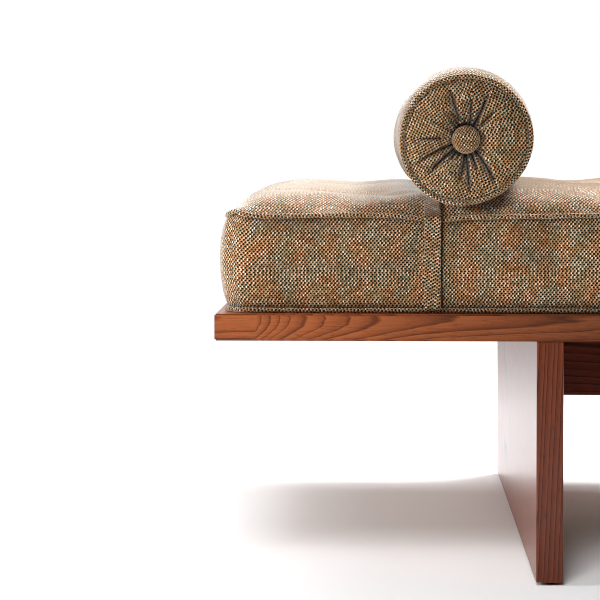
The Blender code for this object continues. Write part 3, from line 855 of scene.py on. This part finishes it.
def make_cover_tube(fabric):
    stations = HALF * np.sin(np.linspace(-math.pi / 2, math.pi / 2, 73))
    sides = 112
    angles = np.linspace(0, 2 * math.pi, sides, endpoint=False)
    y, angle = np.meshgrid(stations, angles, indexing="ij")
    from_end = HALF - np.abs(y)
    end_share = np.exp(-from_end / 0.011)
    radius = BODY_RADIUS - (BODY_RADIUS - RING_RADIUS + 0.0012) * end_share
    radius = radius * (1 + (out_of_round(angle) - 1) * (0.4 + 0.6 * end_share))
    pucker = waves(angle * BODY_RADIUS, (0.0302, 0.0242, 0.0403), 21) * np.exp(-from_end / 0.022)
    radius = radius + 0.0011 * pucker + 0.0007 * waves(y + 0.02 * np.sin(angle * 2), (0.31, 0.19), 4)
    x = BOLSTER_X + radius * np.cos(angle)
    z = axis_height(y) + radius * np.sin(angle)
    z = np.maximum(z, resting_floor(y))
    points = np.stack([x, y, z], -1).reshape(-1, 3)
    faces = [face[::-1] for face in grid_faces(len(stations), sides, close_columns=True)]
    around = np.linspace(0, 2 * math.pi * BODY_RADIUS, sides + 1)
    cover = mesh_object("bolster_tube", points, faces, flipped(grid_uvs(around, stations)))
    finish_with(cover, fabric, "bolster", "tweed", "bolster_core", "bolster_cover")


def flipped(uvs):
    """The UVs of quads whose corners are listed the other way round."""
    return [uvs[start + corner] for start in range(0, len(uvs), 4) for corner in (3, 2, 1, 0)]


def pleats(radius, angle):
    """How deep the pleats are drawn in, and the painted shade in their creases, both from 0 to 1."""
    relief, crease = np.zeros_like(angle), np.zeros_like(angle)
    for at_rim, at_button, start, reach, depth in PLEATS:
        outward = np.clip((radius - 0.016) / 0.052, 0, 1)
        centre = np.radians(at_button + (at_rim - at_button) * outward)
        off = np.abs((angle - centre + math.pi) % (2 * math.pi) - math.pi) * radius
        fade = depth * smooth_step(reach, reach - 0.022, radius)
        fade = fade * smooth_step(start - 0.008, start, radius)
        drawn = 0.66 * np.exp(-((off / 0.0026) ** 1.4)) + 0.34 * np.exp(-off / 0.008)
        relief = np.maximum(relief, fade * drawn)
        # Painted shade along the middle of each crease.
        width = 0.0023 - 0.0013 * outward
        crease = np.maximum(crease, fade * np.exp(-((off / width) ** 2)))
    return relief, crease


def sector_lean(angle):
    """The small turn of the weave in the gore that an angle falls in."""
    lines = np.sort([(at_rim + at_button) / 2 for at_rim, at_button, *_ in PLEATS])
    sector = int(np.searchsorted(lines, math.degrees(angle) % 360)) % len(lines)
    return math.radians(17 * math.sin(2.7 * sector) + 5 * math.sin(angle))


def make_gather(side, sign, fabric):
    """An end panel, pulled into pleats round its button, with painted shade in its creases."""
    rings, sides = 56, 360
    share = np.linspace(0.14, 1, rings)
    angles = np.linspace(0, 2 * math.pi, sides, endpoint=False)
    share, angle = np.meshgrid(share, angles, indexing="ij")
    reach = (RING_RADIUS - 0.0012) * share
    relief, crease = pleats(reach, angle)
    pillow = np.sin(math.pi * np.clip((share - 0.02) / 0.98, 0, 1) ** 1.3)
    height = 0.0105 * np.clip(pillow, 0, 1) ** 0.8 - 0.0012
    height = height - 0.0110 * relief * smooth_step(1.0, 0.8, share)
    height = height + 0.0010 * waves(angle * 0.05, (0.0314, 0.0224, 0.0157), 31) * share * (1 - share) * 4
    height = height - 0.0050 * smooth_step(0.34, 0.16, share)
    # Painted shade: a dark, uneven ring round the button, and a dark band just inside the piping, deepest
    # towards +X, away from the side light.
    uneven = 0.45 + 0.35 * waves(angle * 0.05, (0.105, 0.0524, 0.0349), 12)
    crease = np.maximum(crease, uneven * smooth_step(0.31, 0.235, share))
    crease = np.maximum(crease, (0.40 + 0.35 * np.cos(angle)) * smooth_step(0.955, 0.985, share))
    round_share = 1 + (out_of_round(angle) - 1) * share
    x = BOLSTER_X + reach * round_share * np.cos(angle)
    z = BOLSTER_END_Z + reach * round_share * np.sin(angle)
    points = np.stack([x, sign * (HALF + height), z], -1).reshape(-1, 3)
    faces = grid_faces(rings, sides, close_columns=True)
    uvs = []
    for face in faces:
        middle = points[list(face)].mean(0)
        lean = sector_lean(math.atan2(middle[2] - BOLSTER_END_Z, middle[0] - BOLSTER_X))
        for index in face:
            dx, dz = points[index, 0] - BOLSTER_X, points[index, 2] - BOLSTER_END_Z
            cosine, sine = math.cos(lean), math.sin(lean)
            uvs.append((dx * cosine + dz * sine, dz * cosine - dx * sine))
    if sign > 0:
        faces = [face[::-1] for face in faces]
        uvs = flipped(uvs)
    gather = mesh_object(f"bolster_{side}_panel", points, faces, uvs, crease.ravel())
    finish_with(gather, fabric, "bolster", "tweed", f"bolster_{side}_gather")


def make_bolster_end(side, sign, fabric, across, leaning):
    """A gathered panel, its piping ring and its covered button."""
    make_gather(side, sign, fabric)
    angles = np.linspace(0, 2 * math.pi, 150, endpoint=False)
    reach = RING_RADIUS * out_of_round(angles)
    ring = np.stack(
        [
            BOLSTER_X + reach * np.cos(angles),
            np.full_like(angles, sign * (HALF + 0.0006)),
            BOLSTER_END_Z + reach * np.sin(angles),
        ],
        -1,
    )
    cord = tube(f"bolster_{side}_cord", ring, RING_CORD, up=(0, 1, 0))
    finish_with(cord, across, "bolster", "tweed", f"bolster_{side}_piping")
    shape, faces, uvs = dome_button(END_BUTTON_RADIUS, END_BUTTON_HEIGHT, rings=9, sides=36)
    x, y, height = shape.T
    placed = np.stack([BOLSTER_X + x, sign * (HALF + 0.0022 + height), BOLSTER_END_Z - sign * y], -1)
    button = mesh_object(f"bolster_{side}_knob", placed, faces, uvs)
    finish_with(button, leaning, "bolster", "tweed", f"bolster_{side}_button")


# Strap


STRAP_THICKNESS = 0.0026
SECTION_SIDES = 24


def strap_path():
    """The band's middle line in the YZ plane, from under the mattress round its front and back."""
    half_y = WELT_HALF.y
    low = deck_top + 0.0012
    front = -half_y - 0.0030
    points = [(front + 0.006, low + 0.0002)]
    for share in np.linspace(0, 1, 15):
        z = deck_top + 0.006 + (WELT_Z - 0.004 - deck_top - 0.006) * share
        points.append((front - 0.0022 * math.sin(math.pi * share), z))
    lip = WELT_Z - 0.0042 + PIPING_RADIUS + 0.0016
    points.append((front + 0.0016, lip - 0.0006))
    inner = np.linspace(-half_y + 0.0075, 0, 40)
    for y in inner:
        z = float(top_height(np.array(STRAP_X), np.array(y))) + 0.0016
        points.append((y, z + 0.0035 * math.exp(-(((y + half_y - 0.010) / 0.010) ** 2))))
    return points + [(-y, z) for y, z in points[::-1][1:]]


def make_strap(fabric):
    """The band round the mattress, with turned and stitched edges."""
    outline = np.array(strap_path())
    count = len(outline)
    ahead = np.roll(outline, -1, 0) - np.roll(outline, 1, 0)
    ahead /= np.linalg.norm(ahead, axis=1)[:, None]
    outward = np.stack([-ahead[:, 1], ahead[:, 0]], -1)
    half = STRAP_WIDTH / 2
    section = []
    for step in range(SECTION_SIDES):
        turn = 2 * math.pi * step / SECTION_SIDES
        cx, cy = math.cos(turn), math.sin(turn)
        across = half * np.sign(cx) * abs(cx) ** 0.35
        section.append((across, STRAP_THICKNESS / 2 * np.sign(cy) * abs(cy) ** 0.55))
    section = np.array(section)
    stitch = 0.00035 * np.exp(-(((np.abs(section[:, 0]) - half + 0.0035) / 0.0008) ** 2))
    rings = []
    for (y, z), normal in zip(outline, outward):
        for (sx, sy), dent in zip(section, stitch):
            lift = sy - math.copysign(dent, sy)
            rings.append((STRAP_X + sx, y + normal[0] * lift, z + normal[1] * lift))
    faces = grid_faces(count, SECTION_SIDES, close_rows=True, close_columns=True)
    uvs = grid_uvs(lengths_along(section, closed=True), lengths_along(outline, closed=True))
    rings = np.array(rings)
    # Painted shade on the strap where it crosses the top welt, under the bolster.
    shade_beside_welt = np.exp(-(((WELT_HALF.y - np.abs(rings[:, 1])) / 0.012) ** 2))
    strap = mesh_object("bolster_band", rings, faces, uvs, 0.55 * shade_beside_welt * (rings[:, 2] > WELT_Z))
    finish_with(strap, fabric, "bolster", "tweed", "bolster_strap")


def make_tab(fabric):
    """The sewn-down end of the strap, with a raised stitched border, at the back."""
    low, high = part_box("strap_closure_tab")
    columns, rows = 13, 31
    x = np.linspace(low.x, high.x, columns)
    z = np.linspace(low.z, high.z, rows)
    gx, gz = np.meshgrid(x, z)
    edge = np.minimum.reduce([gx - low.x, high.x - gx, gz - low.z, high.z - gz])
    lift = 0.0016 * smooth_step(0, 0.0014, edge) - 0.0005 * np.exp(-(((edge - 0.003) / 0.0007) ** 2))
    base = WELT_HALF.y + 0.0056
    outer = np.stack([gx, base + lift, gz], -1).reshape(-1, 3)
    inner = np.stack([gx, np.full_like(gx, base - 0.0006), gz], -1).reshape(-1, 3)
    faces = [face[::-1] for face in grid_faces(rows, columns)]
    faces += grid_faces(rows, columns, first=rows * columns)
    ids = np.arange(rows * columns).reshape(rows, columns)
    rim = MattressGrid.boundary(ids)
    behind = rows * columns
    for here, after in zip(rim.tolist(), np.roll(rim, -1).tolist()):
        faces.append((here, after, after + behind, here + behind))
    points = np.vstack([outer, inner])
    uvs = [(points[index][0], points[index][2]) for face in faces for index in face]
    tab = mesh_object("strap_end_tab", points, faces, uvs)
    finish_with(tab, fabric, "bolster", "tweed", "strap_closure_tab")


# Platform and legs


def paint_frame():
    """The walnut boards and the hidden hardware keep their CAD shapes."""
    # The second tone is painted shade: the stretcher, in the platform's shadow, gets a much darker copy
    # of the walnut.
    leg_tone, stretcher_shade_tone = (0.45, 0.31, 0.35), (0.35, 0.19, 0.18)
    rail = {"tone": (0.92, 0.82, 0.84), "contrast": 0.78}
    hidden_rail = {**rail, "waver": 0.016}
    leg = {"ring": 0.0038, "tone": leg_tone, "waver": 0.014, "gloss": 0.75}
    looks = {
        "front_rail": walnut(
            "walnut_front", "X", (deck_low.y + 0.035, deck_top - 0.005), rise=0.010, ring=0.0034,
            waver=0.008, gloss=0.75, arches=(deck_low.x + 0.045, 0.078, 0.0305),
            # Painted shade: the front rail dims to about half towards the leg, away from the side light.
            shade_falloff=(deck_low.x + 0.10, deck_low.x + 0.46, 0.46), **rail,
        ),
        "back_rail": walnut(
            "walnut_back", "X", (deck_high.y - 0.042, deck_top - 0.018), rise=0.022, ring=0.0036,
            shift=0.7, **hidden_rail,
        ),
        "left_end_rail": walnut(
            "walnut_left_end", "Y", (0.97, deck_top - 0.012), rise=0.030, ring=0.0040,
            shift=0.3, **hidden_rail,
        ),
        "right_end_rail": walnut(
            "walnut_right_end", "Y", (-0.98, deck_top - 0.02), rise=-0.026, ring=0.0040,
            shift=1.3, **hidden_rail,
        ),
        "left_leg_panel": walnut("walnut_left_leg", "Z", (0.20, 0.0), rise=0.03, shift=0.4, **leg),
        "right_leg_panel": walnut("walnut_right_leg", "Z", (0.26, 0.1), rise=-0.03, shift=0.9, **leg),
        # Painted shade: the stretcher's walnut is made much darker because it sits in the platform's
        # shadow.
        "stretcher": walnut(
            "walnut_stretcher", "X", (0.05, 0.32), rise=0.012, ring=0.0080, tone=stretcher_shade_tone,
            shift=0.2, gloss=0.2,
        ),
    }
    ledger = walnut("walnut_ledger", "X", (0.2, 0.1), rise=0.02, tone=(0.8, 0.75, 0.8))
    slat = pale_wood("slat_poplar")
    steel = zinc("zinc_plate")
    dark_nylon = nylon("glide_black")
    for name, node in frame["nodes"].items():
        if name in looks:
            material = looks[name]
        elif "ledger" in name:
            material = ledger
        elif name.startswith(("slat_", "mitre_")):
            material = slat
        elif name.startswith(("leg_bolt", "barrel_nut")):
            material = steel
        elif name.startswith("glide_"):
            material = dark_nylon
        else:
            continue
        node.data.materials.clear()
        node.data.materials.append(material)


# Studio


def area_light(name, spot, aim, size, power):
    light = bpy.data.lights.new(name, "AREA")
    light.shape = "RECTANGLE"
    light.size, light.size_y = size
    light.energy = power
    thing = bpy.data.objects.new(name, light)
    thing.location = spot
    thing.rotation_euler = (Vector(aim) - Vector(spot)).to_track_quat("-Z", "Y").to_euler()
    bpy.context.scene.collection.objects.link(thing)
    return thing


def make_floor():
    """A pale floor that thins out to nothing well away from the daybed."""
    bpy.ops.mesh.primitive_plane_add(size=14, location=(0, 0, 0))
    floor = bpy.context.active_object
    floor.name = "studio_floor"
    g = Graph("floor_white")
    g.shader.inputs["Base Color"].default_value = (0.755, 0.765, 0.775, 1)
    g.shader.inputs["Roughness"].default_value = 0.7
    g.shader.inputs["Specular IOR Level"].default_value = 0.1
    place = g.node("ShaderNodeTexCoord").outputs["Object"]
    away = g.node("ShaderNodeVectorMath", {0: place}, operation="LENGTH").outputs["Value"]
    g.feed(g.shader.inputs["Alpha"], g.remap(away, 1.4, 3.0, 1.0, 0.0))
    floor.data.materials.append(g.material)
    return floor


def make_world():
    """A white surround, which lights the object only from behind and a little from all round."""
    world = bpy.data.worlds.new("studio_world")
    world.use_nodes = True
    tree = world.node_tree
    background = tree.nodes["Background"]
    background.inputs[0].default_value = (1.0, 1.0, 1.0, 1)

    def node(kind, **settings):
        made = tree.nodes.new(kind)
        for key, value in settings.items():
            setattr(made, key, value)
        return made

    direction = node("ShaderNodeTexCoord")
    split = node("ShaderNodeSeparateXYZ")
    tree.links.new(direction.outputs["Generated"], split.inputs[0])
    behind = node("ShaderNodeMapRange")
    for index, value in enumerate((0.3, 0.9, 0.03, 0.95)):
        behind.inputs[index + 1].default_value = value
    tree.links.new(split.outputs["Y"], behind.inputs[0])
    seen = node("ShaderNodeLightPath")
    strength = node("ShaderNodeMath", operation="MAXIMUM")
    tree.links.new(behind.outputs[0], strength.inputs[0])
    tree.links.new(seen.outputs["Is Camera Ray"], strength.inputs[1])
    tree.links.new(strength.outputs[0], background.inputs[1])
    bpy.context.scene.world = world


def make_studio():
    """The floor, the surround and the lights, one of which lights only the floor."""
    floor = make_floor()
    make_world()
    area_light("overhead", (0.2, 0.9, 2.4), (0.2, 0.9, 0), (0.8, 0.8), 148)
    area_light("overhead_wide", (-0.5, 1.3, 2.4), (-0.5, 1.3, 0), (3.8, 1.2), 91)
    area_light("side", (-2.2, -0.6, 0.8), (-0.9, 0.0, 0.3), (0.6, 0.8), 22)
    area_light("front", (-1.1, -1.9, 2.3), (-1.1, -1.5, 0), (1.2, 0.8), 18)
    floor_light = area_light("floor_fill", (-1.25, -2.6, 2.3), (-0.8, -0.4, 0), (0.9, 0.9), 72)
    lit = bpy.data.collections.new("floor_only")
    lit.objects.link(floor)
    floor_light.light_linking.receiver_collection = lit
    scene = bpy.context.scene
    scene.view_settings.view_transform = "Standard"
    scene.view_settings.look = "None"
    scene.cycles.filter_width = 1.0


def make_camera():
    camera = bpy.data.cameras.new("camera")
    camera.sensor_width = 36
    camera.lens = 132.2
    camera.shift_y = -0.1237
    camera.clip_end = 200
    thing = bpy.data.objects.new("camera", camera)
    thing.location = (-0.831, -2.8674, 0.4855)
    thing.rotation_euler = (math.radians(88.0), 0, math.radians(2.194))
    bpy.context.scene.collection.objects.link(thing)
    bpy.context.scene.camera = thing


fabric = tweed("tweed_cover")
across = tweed("tweed_across", turn=84)
leaning = tweed("tweed_leaning", turn=-9)
paint_frame()
make_mattress(fabric, across)
make_cover_tube(fabric)
for side, sign in (("front", -1), ("back", 1)):
    make_bolster_end(side, sign, fabric, across, leaning)
make_strap(across)
make_tab(fabric)
make_studio()
make_camera()
